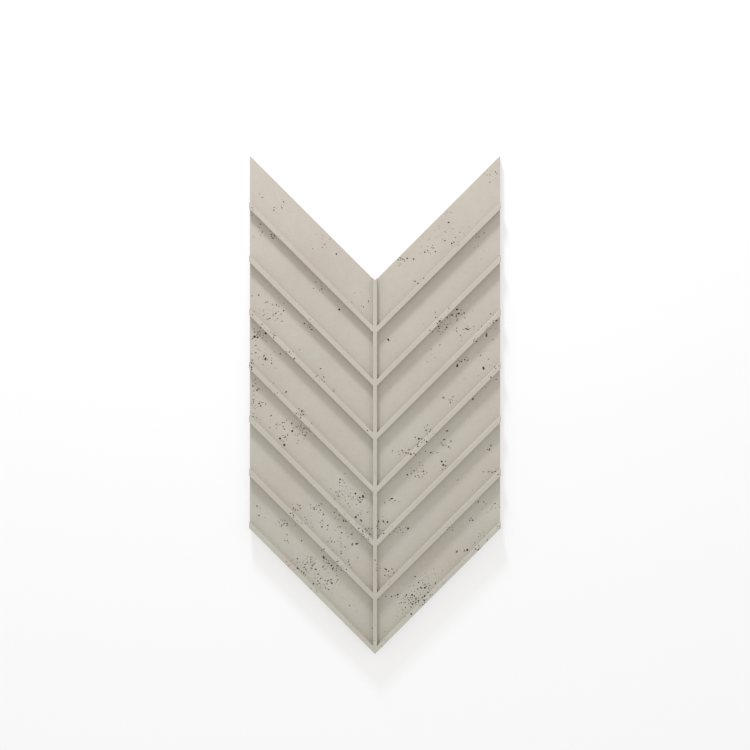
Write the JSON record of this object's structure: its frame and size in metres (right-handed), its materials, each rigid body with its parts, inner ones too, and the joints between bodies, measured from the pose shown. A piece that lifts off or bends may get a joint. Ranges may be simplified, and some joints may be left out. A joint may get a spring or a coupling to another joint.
{
  "type": "herringbone concrete wall panel",
  "caption": "Cast concrete wall cladding panel, chevron notched at one end and pointed at the other, with raised slanted ribs on a central spine and flat leaves between them.",
  "frame": {"origin": "on the back face, midway along the panel's length and width", "axes": "+Z out of the ribbed face, +Y along the spine towards the notched end, which is uppermost on a wall"},
  "size_m": [0.5, 0.9924, 0.025],
  "materials": {
    "concrete": "matt light grey cast concrete with air pores"
  },
  "bodies": {
    "root": {"panel": "concrete"}
  },
  "joints": []
}
